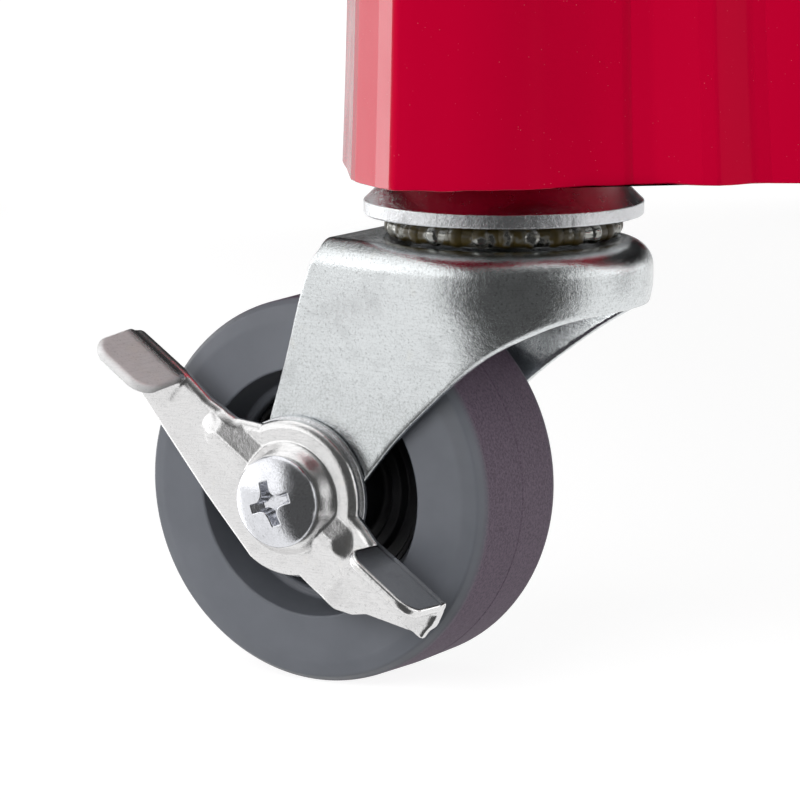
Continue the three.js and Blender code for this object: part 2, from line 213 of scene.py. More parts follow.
def corner_distance(u, v, radius):
    """Signed distance to a quadrant u < 0, v < 0 with its corner rounded."""
    u, v = u + radius, v + radius
    return np.minimum(np.maximum(u, v), 0) + np.hypot(np.maximum(u, 0), np.maximum(v, 0)) - radius


def outline_distance(x, y, outline):
    """Signed distance to a closed outline, negative inside."""
    x, y = np.broadcast_arrays(x, y)
    best = np.full(x.shape, np.inf)
    inside = np.zeros(x.shape, bool)
    for (ax, ay), (bx, by) in zip(outline, outline[1:] + outline[:1]):
        ex, ey = bx - ax, by - ay
        length = ex * ex + ey * ey
        if length < 1e-12:
            continue
        t = np.clip(((x - ax) * ex + (y - ay) * ey) / length, 0, 1)
        best = np.minimum(best, (x - ax - t * ex) ** 2 + (y - ay - t * ey) ** 2)
        crosses = ((ay <= y) & (by > y)) | ((by <= y) & (ay > y))
        if abs(ey) > 1e-12:
            inside ^= crosses & (x < ax + (y - ay) * ex / ey)
    return np.where(inside, -1, 1) * np.sqrt(best)


def skin_of(name, distance, low, high, step):
    """The surface where a distance function is zero, as a mesh of quads (surface nets)."""
    x, y, z = np.ogrid[low[0]:high[0]:step, low[1]:high[1]:step, low[2]:high[2]:step]
    field = distance(x, y, z)
    shape = np.array(field.shape) - 1
    cells = int(shape.prod())
    inside = field < 0
    count, total, quads = np.zeros(cells), np.zeros((cells, 3)), []
    for axis in range(3):
        near = tuple(slice(0, -1) if k == axis else slice(None) for k in range(3))
        far = tuple(slice(1, None) if k == axis else slice(None) for k in range(3))
        index = np.argwhere(inside[near] != inside[far])
        a, b = field[near][tuple(index.T)], field[far][tuple(index.T)]
        position = index.astype(float)
        position[:, axis] += a / (a - b)
        u, v = (axis + 1) % 3, (axis + 2) % 3
        ring = []
        for du, dv in ((0, 0), (-1, 0), (-1, -1), (0, -1)):
            cell = index.copy()
            cell[:, u] += du
            cell[:, v] += dv
            flat = np.ravel_multi_index(tuple(cell.T), shape)
            count += np.bincount(flat, minlength=cells)
            for k in range(3):
                total[:, k] += np.bincount(flat, position[:, k], minlength=cells)
            ring.append(flat)
        ring = np.stack(ring, 1)
        quads.append(np.where((a < 0)[:, None], ring, ring[:, ::-1]))
    used = np.flatnonzero(count)
    number = np.zeros(cells, int)
    number[used] = np.arange(len(used))
    points = total[used] / count[used][:, None] * step + np.array(low)

    def slope(p):
        h = 0.02
        x, y, z = p.T
        return np.stack([distance(x + h, y, z) - distance(x - h, y, z),
                         distance(x, y + h, z) - distance(x, y - h, z),
                         distance(x, y, z + h) - distance(x, y, z - h)], 1) / (2 * h)

    # The points settle on the surface itself.
    for _ in range(2):
        gradient = slope(points)
        steepness = np.maximum((gradient ** 2).sum(1, keepdims=True), 0.2)
        move = distance(*points.T)[:, None] * gradient / steepness
        points -= np.clip(move, -step / 2, step / 2)
    return built(name, points, number[np.concatenate(quads)].tolist())


# ---- Placing ----

def shown(name, mesh, body, material, node, place=Matrix(), even=True):
    """Puts a finished mesh in the place of a CAD node, with a material, and hides the node."""
    piece = bpy.data.objects.new(name, mesh)
    bpy.context.scene.collection.objects.link(piece)
    piece.matrix_world = place
    mesh.materials.clear()
    mesh.materials.append(material)
    if even:
        weighted = piece.modifiers.new("even normals", "WEIGHTED_NORMAL")
        weighted.keep_sharp = True
    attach(piece, body)
    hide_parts(node)


def softened(node, material, width=0.4, segments=3):
    """A CAD node that keeps its shape and gets small rounded edges and a finish."""
    piece = frame["nodes"][node]
    piece.data.materials.clear()
    piece.data.materials.append(material)
    piece.data.shade_smooth()
    flat = piece.modifiers.new("merge flats", "DECIMATE")
    flat.decimate_type = "DISSOLVE"
    flat.angle_limit = math.radians(1)
    bevel = piece.modifiers.new("rounded edges", "BEVEL")
    bevel.width = width * MM
    bevel.segments = segments
    bevel.limit_method = "ANGLE"
    bevel.angle_limit = math.radians(32)
    bevel.use_clamp_overlap = True
    weighted = piece.modifiers.new("even normals", "WEIGHTED_NORMAL")
    weighted.keep_sharp = True


# ---- Materials ----

class Finish:
    """A procedural material whose patterns are set out in millimetres on the piece itself."""

    def __init__(self, name, **constants):
        self.material = bpy.data.materials.new(name)
        self.material.use_nodes = True
        self.tree = self.material.node_tree
        self.shader = self.tree.nodes["Principled BSDF"]
        for socket, value in constants.items():
            self.shader.inputs[socket.replace("_", " ")].default_value = value
        place = self.tree.nodes.new("ShaderNodeTexCoord")
        scale = self.tree.nodes.new("ShaderNodeVectorMath")
        scale.operation = "SCALE"
        scale.inputs["Scale"].default_value = 1 / MM
        self.tree.links.new(place.outputs["Object"], scale.inputs[0])
        self.place = scale.outputs[0]
        self.normal = None

    def link(self, value, socket):
        if isinstance(value, bpy.types.NodeSocket):
            self.tree.links.new(value, socket)
        else:
            socket.default_value = value

    def stretched(self, x, y, z):
        """The place, scaled along its axes, so that a pattern on it is drawn out."""
        node = self.tree.nodes.new("ShaderNodeMapping")
        node.vector_type = "TEXTURE"
        node.inputs["Scale"].default_value = (x, y, z)
        self.link(self.place, node.inputs["Vector"])
        return node.outputs[0]

    def noise(self, size, detail=4, rough=0.6, at=None):
        """Noise whose blobs are about size mm across."""
        node = self.tree.nodes.new("ShaderNodeTexNoise")
        node.inputs["Scale"].default_value = 1 / size
        node.inputs["Detail"].default_value = detail
        node.inputs["Roughness"].default_value = rough
        self.link(at or self.place, node.inputs["Vector"])
        return node.outputs["Fac"]

    def cells(self, size):
        """Distance from scattered points that are about size mm apart."""
        node = self.tree.nodes.new("ShaderNodeTexVoronoi")
        node.inputs["Scale"].default_value = 1 / size
        self.link(self.place, node.inputs["Vector"])
        return node.outputs["Distance"]

    def ramp(self, value, *stops):
        """Colours or grey levels along a value: (position, colour) pairs."""
        node = self.tree.nodes.new("ShaderNodeValToRGB")
        band = node.color_ramp.elements
        while len(band) < len(stops):
            band.new(0.5)
        for element, (position, colour) in zip(band, stops):
            grey = isinstance(colour, (int, float))
            element.position = position
            element.color = (colour, colour, colour, 1) if grey else (*colour, 1)
        self.link(value, node.inputs["Fac"])
        return node.outputs["Color"]

    def mix(self, factor, a, b, how="MIX"):
        """A mix of two colours or grey levels."""
        node = self.tree.nodes.new("ShaderNodeMix")
        node.data_type = "RGBA"
        node.blend_type = how
        self.link(factor, node.inputs["Factor"])
        for value, key in ((a, "A"), (b, "B")):
            socket = [s for s in node.inputs if s.name == key and s.type == "RGBA"][0]
            if isinstance(value, (int, float)):
                value = (value, value, value)
            self.link((*value, 1) if isinstance(value, tuple) else value, socket)
        return [s for s in node.outputs if s.type == "RGBA"][0]

    def math(self, how, a, b):
        node = self.tree.nodes.new("ShaderNodeMath")
        node.operation = how
        self.link(a, node.inputs[0])
        self.link(b, node.inputs[1])
        return node.outputs[0]

    def split(self):
        """The place's three coordinates."""
        node = self.tree.nodes.new("ShaderNodeSeparateXYZ")
        self.link(self.place, node.inputs[0])
        return node.outputs

    def relief(self, height, depth):
        """Adds relief of about depth mm from a height between 0 and 1."""
        node = self.tree.nodes.new("ShaderNodeBump")
        node.inputs["Distance"].default_value = depth * MM
        self.link(height, node.inputs["Height"])
        if self.normal:
            self.link(self.normal, node.inputs["Normal"])
        self.normal = node.outputs["Normal"]

    def done(self, **sockets):
        """Links the last sockets and gives the material."""
        for name, value in sockets.items():
            self.link(value, self.shader.inputs[name.replace("_", " ")])
        if self.normal:
            self.link(self.normal, self.shader.inputs["Normal"])
        return self.material


def red_plastic():
    """Glossy moulded plastic, deep red, with faint flow streaks and fine dust specks."""
    f = Finish("red_plastic", IOR=1.5, Specular_Tint=(1.0, 0.03, 0.08, 1))
    drift = f.noise(60, 3, 0.5, f.stretched(1, 1, 4))
    base = f.ramp(drift, (0.3, (0.55, 0.0, 0.028)), (0.7, (0.61, 0.001, 0.034)))
    specks = f.ramp(f.cells(1.1), (0.04, 1), (0.09, 0))
    few = f.ramp(f.noise(7, 3, 0.6), (0.44, 0), (0.60, 1))
    dust = f.mix(1.0, specks, few, "MULTIPLY")
    colour = f.mix(dust, base, (0.78, 0.16, 0.20))
    f.relief(f.noise(2.2, 3, 0.55), 0.006)
    f.relief(f.noise(26, 2, 0.5, f.stretched(1, 1, 5)), 0.09)
    f.relief(dust, 0.03)
    rough = f.ramp(f.noise(14, 4, 0.6), (0.3, 0.13), (0.7, 0.2))
    return f.done(Base_Color=colour, Roughness=rough)


def zinc(name, tone=(0.78, 0.80, 0.81), rough=(0.2, 0.36), mottle=1.0, brushed=(1, 1, 1), stains=0.12,
         grain=0.9, tab=False):
    """Bright zinc plate: a fine mottle that breaks up reflections, fine brushing and faint stains.

    A lower grain gives darker pits. With tab, a brake lever's raised foot tab is worn to satin.
    """
    f = Finish(name, Metallic=1.0)
    stained = tuple(c * (1 - stains) for c in tone)
    warm = (tone[0], tone[1] * 0.985, tone[2] * 0.95)
    colour = f.ramp(f.noise(9, 6, 0.62), (0.32, stained), (0.46, tone), (0.60, tone), (0.72, warm))
    streaks = f.noise(0.35, 4, 0.75, f.stretched(*brushed))
    lines = f.ramp(streaks, (0.34, 0.90), (0.52, 1.0))
    colour = f.mix(1.0, colour, lines, "MULTIPLY")
    pits = f.ramp(f.noise(0.5, 3, 0.7), (0.26, 0.72), (0.38, 1.0))
    colour = f.mix(1.0, colour, pits, "MULTIPLY")
    dull = f.ramp(f.noise(0.5, 5, 0.8), (0.34, grain), (0.50, 1.0))
    colour = f.mix(1.0, colour, dull, "MULTIPLY")
    f.relief(f.noise(0.42, 4, 0.75), 0.035 * mottle)
    f.relief(f.noise(1.2, 4, 0.7), 0.070 * mottle)
    f.relief(streaks, 0.016 * mottle)
    f.relief(f.noise(6, 3, 0.5), 0.10 * mottle)
    roughness = f.ramp(f.noise(3.2, 5, 0.7), (0.3, rough[0]), (0.7, rough[1]))
    if tab:
        _, y, z = f.split()
        outside = f.ramp(f.math("DIVIDE", f.math("ADD", y, -25.0), 4.0), (0.2, 0), (0.8, 1))
        above = f.math("ADD", z, -AXLE_HEIGHT - 10)
        high = f.ramp(f.math("DIVIDE", above, 6.0), (0.2, 0), (0.8, 1))
        worn = f.mix(1.0, outside, high, "MULTIPLY")
        roughness = f.mix(worn, roughness, 0.45)
        f.link(f.mix(worn, 1.0, 0.2), f.shader.inputs["Metallic"])
    return f.done(Base_Color=colour, Roughness=roughness)


def tyre_rubber():
    """Grey rubber: satin sides, and a matte speckled tread with a purple cast."""
    f = Finish("tyre_rubber", IOR=1.5)
    x, y, z = f.split()
    across, up = f.math("ADD", x, -TRAIL), f.math("ADD", z, -AXLE_HEIGHT)
    squares = f.math("ADD", f.math("POWER", across, 2.0), f.math("POWER", up, 2.0))
    radius = f.math("POWER", squares, 0.5)
    from_middle = f.math("ABSOLUTE", y, 0.0)
    middle = f.ramp(f.math("DIVIDE", from_middle, 20.0), (0.62, 1), (0.70, 0))
    outside = f.ramp(f.math("DIVIDE", radius, 40.0), (0.85, 0), (0.87, 1))
    tread = f.mix(1.0, middle, outside, "MULTIPLY")
    grain = f.noise(0.5, 3, 0.7)
    side = f.ramp(f.noise(18, 4, 0.6), (0.3, (0.118, 0.127, 0.147)), (0.7, (0.152, 0.162, 0.185)))
    ground = f.ramp(grain, (0.35, (0.070, 0.045, 0.072)), (0.65, (0.145, 0.100, 0.147)))
    colour = f.mix(tread, side, ground)
    rough = f.mix(tread, f.ramp(f.noise(6, 5, 0.7), (0.3, 0.36), (0.7, 0.5)), 0.72)
    f.relief(f.mix(tread, 0.5, grain), 0.05)
    f.relief(f.noise(1.4, 3, 0.6), 0.008)
    return f.done(Base_Color=colour, Roughness=rough)


def hub_plastic():
    """Dark moulded plastic with a satin finish."""
    f = Finish("hub_plastic", IOR=1.5)
    colour = f.ramp(f.noise(5, 4, 0.6), (0.3, (0.007, 0.007, 0.008)), (0.7, (0.014, 0.014, 0.016)))
    f.relief(f.noise(0.8, 3, 0.6), 0.01)
    return f.done(Base_Color=colour, Roughness=f.ramp(f.noise(3, 4, 0.6), (0.3, 0.3), (0.7, 0.45)))


def black_plastic():
    """Moulded shelf plastic with a fine pebbled texture and scuffed high spots."""
    f = Finish("black_plastic", IOR=1.5)
    scuffs = f.ramp(f.noise(30, 6, 0.7), (0.52, 0), (0.75, 1))
    colour = f.mix(scuffs, (0.016, 0.016, 0.018), (0.030, 0.030, 0.032))
    f.relief(f.cells(1.3), 0.06)
    f.relief(f.noise(0.6, 3, 0.6), 0.02)
    return f.done(Base_Color=colour, Roughness=f.ramp(f.noise(20, 5, 0.6), (0.3, 0.42), (0.7, 0.6)))


def greased_steel():
    """Polished balls and the brassy grease packed round them."""
    f = Finish("greased_steel")
    grease = f.ramp(f.noise(5.5, 3, 0.6), (0.50, 1), (0.58, 0))
    colour = f.mix(grease, (0.34, 0.34, 0.32), (0.050, 0.036, 0.008))
    metal = f.mix(grease, 1.0, 0.0)
    f.relief(f.noise(1.1, 3, 0.6), 0.05)
    return f.done(Base_Color=colour, Metallic=metal, Roughness=f.mix(grease, 0.12, 0.3))


def bearing_steel():
    """Plain turned steel."""
    f = Finish("bearing_steel", Metallic=1.0)
    colour = f.ramp(f.noise(6, 4, 0.6), (0.3, (0.42, 0.41, 0.38)), (0.7, (0.56, 0.55, 0.52)))
    f.relief(f.noise(0.6, 4, 0.7, f.stretched(1, 1, 6)), 0.008)
    return f.done(Base_Color=colour, Roughness=f.ramp(f.noise(2, 4, 0.6), (0.3, 0.22), (0.7, 0.38)))


RED = red_plastic()
ZINC = zinc("zinc_fork", tone=(0.80, 0.83, 0.84), rough=(0.10, 0.24), mottle=1.2,
            brushed=(14, 14, 0.6), grain=0.72)
ZINC_LEVER = zinc("zinc_lever", tone=(0.87, 0.865, 0.865), rough=(0.14, 0.26), mottle=0.6,
                  brushed=(12, 12, 0.6), tab=True)
ZINC_SCREW = zinc("zinc_screw", tone=(0.84, 0.85, 0.89), rough=(0.10, 0.18), mottle=0.7)
ZINC_RACE = zinc("zinc_race", tone=(0.78, 0.79, 0.81), rough=(0.14, 0.3), mottle=2.2, stains=0.4)
RUBBER = tyre_rubber()
HUB = hub_plastic()
BLACK = black_plastic()
GREASED = greased_steel()
STEEL = bearing_steel()


# ---- Caster ----

WHEEL_RADIUS = AXLE_HEIGHT
AXLE = (TRAIL, AXLE_HEIGHT)
SHEET = 2.2                       # thickness of the fork's sheet
CHEEK = 20.5                      # outer face of each cheek, from the wheel's middle
CROWN_TOP = 88.2
AXLE_BORE = 4.3
BALL_CIRCLE = 20.8
CLEARANCE = 0.3


def other_half(half):
    """The same corners (radius, along, rounding) on the wheel's other side, in the outline's order."""
    return [(radius, -along, rounding) for radius, along, rounding in half[::-1]]


def tyre_mesh():
    """The tyre, with a rounded shoulder on each side and a fine moulded line round the tread."""
    half = [(20.6, 8.7, 0), (22.6, 8.7, 0.8), (24.3, 17.0, 0.5), (33.8, 16.2, 4), (36.6, 15.2, 1.2),
            (WHEEL_RADIUS - 0.25, 13.2, 1.5), (WHEEL_RADIUS, 0.5, 0.2), (WHEEL_RADIUS - 0.12, 0.25, 0)]
    return turned("tyre", rounded([*half, *other_half(half)], turn=10), 256, centre=AXLE)


def wheel_core_mesh():
    """The rim, the web and the hub."""
    half = [(20.3, 8.1, 0.3), (19.4, 8.1, 0.3), (18.8, 6.6, 0.3), (16.4, 6.4, 0.4), (15.9, 8.6, 0.5),
            (13.9, 8.8, 0.5), (13.3, 6.6, 0.4), (11.2, 6.6, 1.0), (10.0, 17.1, 0.5), (6.35, 17.1, 0.2)]
    return turned("wheel_core", rounded([*half, *other_half(half)]), 160, centre=AXLE)


FORK_SIDE = [                     # a cheek's outline: front edge, round the axle, and the curved skirt
    (29.6, 95), (29.6, 86.3), *flowing([(31.2, 83.5), (33.9, 76), (37.1, 64.1), (40.4, 53.1)], 5),
    *arc(*AXLE, 10.4, 16, -142, 20),
    *flowing([(19.7, 41.2), (11.5, 51), (1.5, 60.3), (-8.7, 68), (-17.9, 73.1), (-24, 75.4),
              (-31, 76.5)], 5),
    (-31, 95)]


def fork_distance(x, y, z):
    """Pressed sheet: two cheeks run smoothly into a round dish under the upper race."""
    neck, rise, widening = 56, 25, 7.5
    spread = np.clip((z - neck) / rise, 0, 1)
    wider = widening * ease(spread)
    lean = widening * 6 * spread * (1 - spread) / rise
    flank = abs(y) - CHEEK - wider * ease((36 - x) / 36)
    dish = np.hypot(x * 28 / 29, y) - CHEEK - wider
    across = np.where(x > 0, flank, dish) / np.sqrt(1.03 + lean ** 2)
    body = corner_distance(across, z - CROWN_TOP, 5.2)
    groove = np.hypot(np.hypot(x, y) - BALL_CIRCLE, z - CROWN_TOP - 1.9) - 2.6
    body = soft_max(body, -groove, 0.5)
    sheet = np.maximum(body, -(body + SHEET))
    trimmed = soft_max(sheet, outline_distance(x, z, FORK_SIDE), 0.9)
    trimmed = soft_max(trimmed, AXLE_BORE - np.hypot(x - AXLE[0], z - AXLE[1]), 0.5)
    return soft_max(trimmed, 5.8 - np.hypot(x, y), 0.5)


def fork_mesh():
    return skin_of("fork", fork_distance, (-31, -30.6, 25), (46, 31, 90.5), 0.5)


LEVER_SLANT = math.radians(36)
LEVER_BOSS = 15.3
LEVER_SIDE = rounded([            # along and across the lever, from the axle
    (46.7, 4.4, 2), (32.4, 4.6, 3), (25, 4, 3), (18.2, 4.9, 1.5), *sharp(arc(0, 0, LEVER_BOSS, 30, 152, 24)),
    (-19.6, 6.2, 1.5), (-38.4, 6.4, 0.5), (-39.4, 1.2, 2), (-36.6, -2.4, 2.5), (-26.5, -6.8, 2),
    (-24.2, -9, 1.5), (-20.6, -10.7, 1.5), (-15.1, -11.1, 2), *sharp(arc(0, 0, LEVER_BOSS, 226, 270, 10)),
    (15.2, -11.9, 3), (39.4, -5.3, 8), (46.2, -3.0, 3.5)], turn=15)
TABS = [dict(start=31.5, stop=46.7, level=3.6, reach=38, droop=0.13),
        dict(start=-38.8, stop=-20.5, level=5.6, reach=38.3, droop=-0.06)]


def lever_distance(x, y, z):
    """A pressed lever: a round boss and a raised rib, and two arms with foot tabs bent outwards."""
    c, s = math.cos(LEVER_SLANT), math.sin(LEVER_SLANT)
    ahead, up = x - AXLE[0], z - AXLE[1]
    along = ahead * c + up * s
    above = up * c - ahead * s
    radius = np.hypot(along, above)
    boss = 3.2 * ease((11.4 - radius) / 2.9)
    from_ridge = np.hypot(along - np.clip(along, -13, 19), above - 0.2)
    upper, lower = np.clip((4.6 - from_ridge) / 4.2, 0, 1), ease((5.0 - from_ridge) / 4.2)
    share = ease((above - 0.2) / 2 + 0.5)
    rib = 1.7 * (share * upper + (1 - share) * lower)
    side = outline_distance(along, above, LEVER_SIDE)
    rolled = 0.6 * ease((side + 1.7) / 1.8)
    flat = 24.0 + np.maximum(boss, rib) + 0.7 * ease((-along - 15) / 5) - rolled
    lever = soft_max((abs(y - flat) - 1) / 1.12, side, 0.9)
    for tab in TABS:
        level = above - tab["level"] + tab["droop"] * (y - 24)
        bend = corner_distance(23.2 + 0.7 * (tab["start"] < 0) - y + 0.8, level, 2.4)
        middle, half = (tab["start"] + tab["stop"]) / 2, (tab["stop"] - tab["start"]) / 2
        ends = corner_distance(abs(along - middle) - half, y - tab["reach"], 4.5)
        low = -2.0 - above
        lever = soft_min(lever, soft_max(soft_max(abs(bend) - 1, ends, 0.9), low, 0.3), 0.6)
    return soft_max(lever, AXLE_BORE - radius, 0.3)


def lever_mesh():
    return skin_of("brake_lever", lever_distance, (-8, 22, 6), (77, 39.6, 79), 0.35)


BRAKED_SEAT = 28.5                # underside of the axle screw's head, outside the lever
HEAD_TURN = 0.35                  # the recess's turn, in radians


def head_distance(x, y, z, seat):
    """A low domed screw head with a worn cross recess."""
    across, up = x - AXLE[0], z - AXLE[1]
    radius = np.hypot(across, up)
    bowl = np.sqrt(radius ** 2 + (y - seat + 11.9) ** 2) - 15.4
    head = soft_max(soft_max(bowl, radius - 9.1, 0.8), seat - y, 0.4)
    c, s = math.cos(HEAD_TURN), math.sin(HEAD_TURN)
    u, v = across * c - up * s, across * s + up * c
    depth = seat + 3.5 - y
    taper = 5.0 - 0.8 * depth
    width = 0.75 + 0.05 * radius - 0.12 * depth
    one_slot = np.maximum(abs(u) - width, abs(v) - taper)
    other_slot = np.maximum(abs(v) - width, abs(u) - taper)
    cross = soft_min(one_slot, other_slot, 2.4)
    return soft_max(head, -np.maximum(cross, depth - 2.9), 0.22)


def screw_mesh(seat):
    """The axle screw: its head rests on the seat, and its shank runs through to the nut."""
    low = (AXLE[0] - 10, seat - 0.6, AXLE[1] - 10)
    high = (AXLE[0] + 10, seat + 4.4, AXLE[1] + 10)
    head = skin_of("head", lambda x, y, z: head_distance(x, y, z, seat), low, high, 0.14)
    outline = rounded([(0, seat + 0.3, 0), (3.9, seat + 0.3, 0), (3.9, -28.4, 0.8), (0, -28.9, 0)])
    return joined("axle_screw", [head, turned("shank", outline, 48, centre=AXLE)])


def race_mesh():
    """The upper race: a flanged cup whose cone narrows up to the leg's foot."""
    outline = rounded([(5.8, 94.6, 0), (15, 94.6, 0.5), (17, 93.4, 1), (24.2, 93.2, 0.5), (25.0, 92.6, 0.3),
                       (26.9, 92.9, 0.5), (26.95, 95.5, 0.5), (26.2, 96.2, 0.5), (20.6, 101.7, 0.8),
                       (5.8, 101.7, 0)])
    return turned("upper_race", outline, 192, upright=True)


def ball_mesh():
    """A full ring of loose balls in a band of grease."""
    radius, count = 2.15, 28
    height = CROWN_TOP + CLEARANCE + 2.1
    balls = []
    work = bmesh.new()
    bmesh.ops.create_icosphere(work, subdivisions=4, radius=radius * MM)
    ball = bpy.data.meshes.new("ball")
    work.to_mesh(ball)
    work.free()
    for i in range(count):
        angle = 2 * math.pi * (i + 0.35) / count
        place = Vector((BALL_CIRCLE * math.cos(angle), BALL_CIRCLE * math.sin(angle), height))
        copy = ball.copy()
        copy.transform(Matrix.Translation(place * MM))
        balls.append(copy)
    band = turned("grease", arc(BALL_CIRCLE - 0.2, height - 0.1, 1.85, 0, 342, 18), 96, upright=True)
    return joined("ball_ring", [band, *balls])


def brake_plate_mesh():
    """The washer that holds the lever off the cheek."""
    outline = rounded([(AXLE_BORE, 20.9, 0), (15.7, 20.9, 0.3), (15.7, 22.2, 0.5), (14.2, 22.65, 0.5),
                       (AXLE_BORE, 22.65, 0)])
    return turned("brake_plate", outline, 160, centre=AXLE)


def add_casters():
    tyre, core, fork = tyre_mesh(), wheel_core_mesh(), fork_mesh()
    race, balls, lever, plate = race_mesh(), ball_mesh(), lever_mesh(), brake_plate_mesh()
    screws = {True: screw_mesh(BRAKED_SEAT), False: screw_mesh(CHEEK + CLEARANCE)}
    for n in CASTERS:
        name = f"caster_{n}_"
        place = caster_matrix(n)
        body, wheel, braked = name + "fork_body", name + "wheel", n in BRAKED
        rows = [("tyre_surface", tyre, wheel, RUBBER, "tyre_rubber", "tyre", True),
                ("hub", core, wheel, HUB, "hub_plastic", "wheel_core", True),
                ("pressed_fork", fork, body, ZINC, "zinc_plate", "fork", False),
                ("race", race, "root", ZINC_RACE, "zinc_plate", "upper_race", True),
                ("balls", balls, body, GREASED, "bearing_steel", "ball_ring", False),
                ("screw", screws[braked], body, ZINC_SCREW, "zinc_plate", "axle_screw", False)]
        if braked:
            rows += [("lever_plate", lever, name + "lever", ZINC_LEVER, "zinc_plate", "brake_lever", False),
                     ("plate", plate, body, ZINC_RACE, "zinc_plate", "brake_plate", True)]
        for part, mesh, owner, finish, slot, node, even in rows:
            shown(name + part, mesh.copy(), owner, finish, name + node, place, even)
        softened(name + "axle_nut", ZINC_SCREW, 0.5)
        softened(name + "bushing", STEEL, 0.2, 2)
        softened(name + "stem", STEEL, 0.3, 2)


# ---- Legs ----
# Seen from above, about the swivel axis: X runs towards the cart's end and Y towards its side.

LEG_WALL = 3
FLARE_HEIGHT = 80                 # the legs widen towards the floor over this height
FLARE = 0.048
STEM_SETBACK = (9, 2.2)           # how far a swivel axis lies inside its leg's outline
LEG_SIDE = [                      # a leg's outer face, from the end wing's tip to the side wing's tip
    (22.4, -81, 0.8), (23.8, -77, 2), (24, -60.5, 4), (26.5, -52.5, 5), (24.4, -45.2, 0.8), (24.2, -42, 6),
    (26.4, -34.2, 2.5), (25.7, -31.2, 1.2), (22.1, -23, 7), (21.3, -19, 0.7),
    *sharp(flowing([(21.7, -17.5), (21.6, -12), (22.1, -7), (22.9, -2), (24.0, 3), (24.8, 8.5),
                    (24.6, 14), (23.4, 19.5), (22.0, 24.6)], 5)),
    (20.9, 27.6, 2.0), (12.6, 28.5, 3), (3.6, 30.2, 1.2), (0, 30.1, 3), (-30, 24.6, 1.2)]


def leg_flare(height):
    """How much narrower a leg is at a height above its foot."""
    rise = min(1.0, height / FLARE_HEIGHT)
    return 1 - FLARE * (1 - (1 - rise) ** 2)


def leg_ring():
    """The closed section of a leg: its outer face and the same line moved in by the wall."""
    outer = np.array(rounded(LEG_SIDE, closed=False, turn=5)) + STEM_SETBACK
    spans = [outer[:1]]
    for a, b in zip(outer, outer[1:]):
        parts = max(1, int(np.hypot(*(b - a)) / 1.5))
        spans.append(a + (b - a) * (np.arange(1, parts + 1) / parts)[:, None])
    outer = np.concatenate(spans)
    slope = directions(outer)
    for _ in range(10):
        slope[1:-1] = (slope[:-2] + slope[1:-1] + slope[2:]) / 3
    slope /= np.hypot(*slope.T)[:, None]
    inner = outer + LEG_WALL * np.stack([-slope[:, 1], slope[:, 0]], 1)
    return outer, inner[::-1]


def directions(line):
    """The direction of a line at each of its points, one long."""
    slope = np.gradient(line, axis=0)
    return slope / np.maximum(np.hypot(*slope.T), 1e-9)[:, None]


def leg_mesh(number):
    """A fluted corner leg that widens to its foot, with a slightly uneven sawn edge below."""
    swivel = swivel_of(number) / MM
    low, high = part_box(f"leg_{number}")
    bottom, top = low.z / MM, high.z / MM
    end, side = math.copysign(1, swivel.x), math.copysign(1, swivel.y)
    outer, inner = leg_ring()
    ring = np.concatenate([outer, inner])
    measure = np.concatenate([[0], np.cumsum(np.hypot(*np.diff(outer, axis=0).T))])
    waves = [(0.16, 7.3, 0), (0.10, 2.9, 1), (0.06, 1.3, 2)]
    wander = sum(swing * np.sin(measure / length + start) for swing, length, start in waves)
    uneven = np.concatenate([wander, wander[::-1]])
    run = directions(ring)
    normal = np.stack([run[:, 1], -run[:, 0]], 1)
    rounding = [(0.0, 0.35), (0.12, 0.12), (0.35, 0.0)]      # (from the edge, how far the face is cut back)
    between = [2, 5, 9, 14, 20, 27, 35, 44, 53, 62, 71, 80, 200, 350, 500, 650]
    full = top - bottom
    levels = []
    for height, cut in [*rounding, *((h, 0) for h in between), *((full - h, c) for h, c in rounding[::-1])]:
        flat = (ring - normal * cut) * leg_flare(height)
        rise = height + uneven * max(0.0, 1 - height / 9)
        levels.append(np.stack([swivel.x + end * flat[:, 0], swivel.y + side * flat[:, 1],
                                bottom + np.maximum(rise, 0)], 1))
    return skinned(f"leg_{number}_skin", levels)


def add_legs():
    for n in CASTERS:
        shown(f"leg_{n}_skin", leg_mesh(n), "root", RED, f"leg_{n}")
        softened(f"stem_socket_{n}", RED, 0.8)
        softened(f"handle_bolt_{n}", STEEL, 0.4)


# ---- Shelves and handles ----

HANDLE_RADIUS = 11
HANDLE_BEND = 30
HANDLE_HALF_SPAN = 150


def add_shelves():
    for node in ("bottom_shelf", "middle_shelf", "top_shelf"):
        softened(node, BLACK, 1.2, 4)


